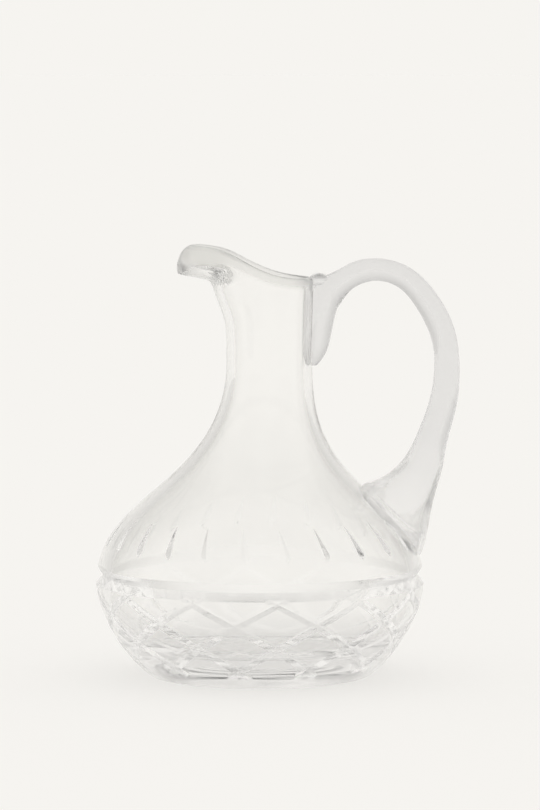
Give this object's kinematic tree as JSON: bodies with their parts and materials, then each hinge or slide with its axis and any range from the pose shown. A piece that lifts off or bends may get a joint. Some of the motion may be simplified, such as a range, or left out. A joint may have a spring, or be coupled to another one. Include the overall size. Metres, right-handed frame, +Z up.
{
  "type": "cut crystal carafe",
  "caption": "Clear cut-crystal carafe with a bulbous bowl, slender neck, pulled pouring lip, a mitre ring over a lattice of diamonds, and an applied solid glass handle.",
  "frame": {"origin": "middle of the flat base, on the table", "axes": "+Z up along the bowl's axis, -X towards the pouring lip, +X towards the handle, Y across"},
  "size_m": [0.1818, 0.164, 0.2155],
  "materials": {
    "vessel_crystal": "fire-polished and cut clear lead crystal",
    "handle_crystal": "fire-polished clear lead crystal, drawn by hand"
  },
  "bodies": {
    "root": {"vessel": "vessel_crystal", "handle": "handle_crystal"}
  },
  "joints": []
}
